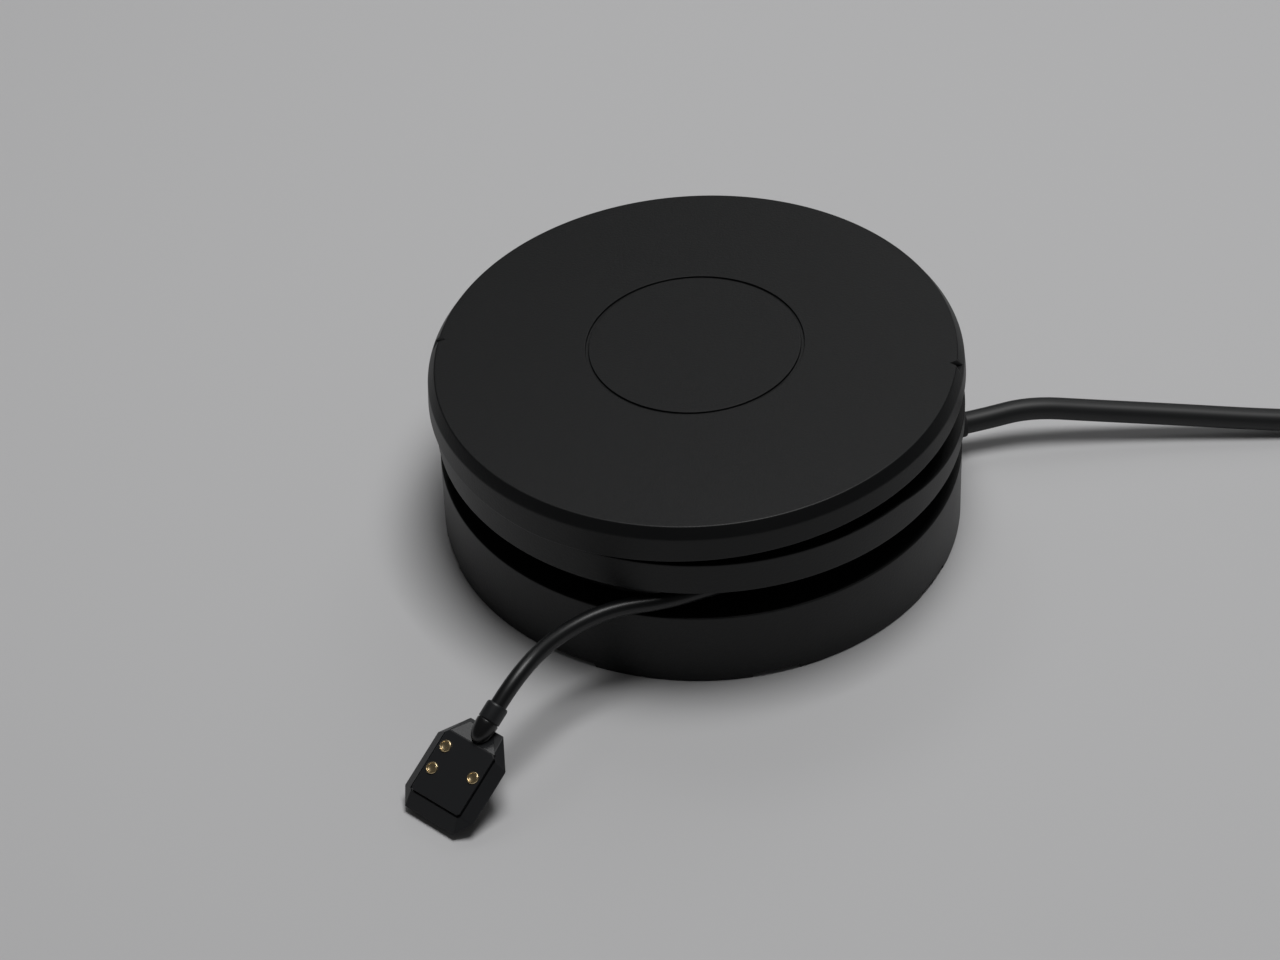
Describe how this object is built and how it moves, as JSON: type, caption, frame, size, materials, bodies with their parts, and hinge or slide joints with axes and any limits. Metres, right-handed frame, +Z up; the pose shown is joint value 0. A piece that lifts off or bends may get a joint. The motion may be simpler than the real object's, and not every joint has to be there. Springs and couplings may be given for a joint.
{
  "type": "power puck with a wound lead",
  "caption": "Round matte black power puck with a waist groove that winds up a thin lead, an eight-sided magnetic contact head with gold cups, a cocked lid and a supply cable.",
  "frame": {"origin": "centre of the base's rim, on the table", "axes": "+Z up through the storeys, -Y towards the viewer, +X towards the side where the supply cable leaves"},
  "size_m": [0.2822, 0.1799, 0.0451],
  "materials": {
    "shell_plastic": "fine matte moulding grain",
    "lead_jacket": "satin soft jacket",
    "head_plastic": "fine matte moulding grain",
    "nose_plastic": "semi-gloss overmould",
    "gold_contact": "thin gold plating",
    "pad_rubber": "matte",
    "screw_steel": "zinc plated",
    "ballast_steel": "plain",
    "spacer_brass": "plain",
    "board_laminate": "solder mask",
    "ferrite": "matte",
    "can_aluminium": "satin",
    "chip_epoxy": "matte",
    "terminal_nylon": "natural nylon",
    "magnet_nickel": "nickel plated",
    "plug_steel": "tin plated"
  },
  "bodies": {
    "base": {"base_shell": "shell_plastic", "base_plate": "shell_plastic", "base_pads": "pad_rubber", "base_screws": "screw_steel", "ballast_plate": "ballast_steel", "board_spacers": "spacer_brass", "main_board": "board_laminate", "transformer": "ferrite", "inductor": "ferrite", "capacitors": "can_aluminium", "controller_chips": "chip_epoxy", "supply_header": "terminal_nylon", "lead_terminal": "terminal_nylon", "supply_clamp": "terminal_nylon", "supply_grommet": "pad_rubber", "upper_tray": "shell_plastic", "tray_screws": "screw_steel", "lead_grommet": "pad_rubber", "lead_winding": "lead_jacket", "supply_cable": "lead_jacket", "supply_coil": "lead_jacket", "supply_tail": "lead_jacket", "plug_relief": "nose_plastic", "plug_body": "shell_plastic", "plug_shell": "plug_steel", "lead_tube": "lead_jacket", "lead_sleeve": "head_plastic", "head_nose": "nose_plastic", "head_top": "head_plastic", "head_base": "head_plastic", "head_board": "board_laminate", "head_magnets": "magnet_nickel", "head_cups": "gold_contact"},
    "lid_cap": {"lid": "shell_plastic"}
  },
  "joints": [
    {"name": "lid_tilt", "type": "hinge", "parent": "base", "child": "lid_cap", "pos_m": [-0.05864, 0.00981, 0.0343], "axis": [-0.165, -0.9863, 0], "range_deg": [0, 25]}
  ]
}
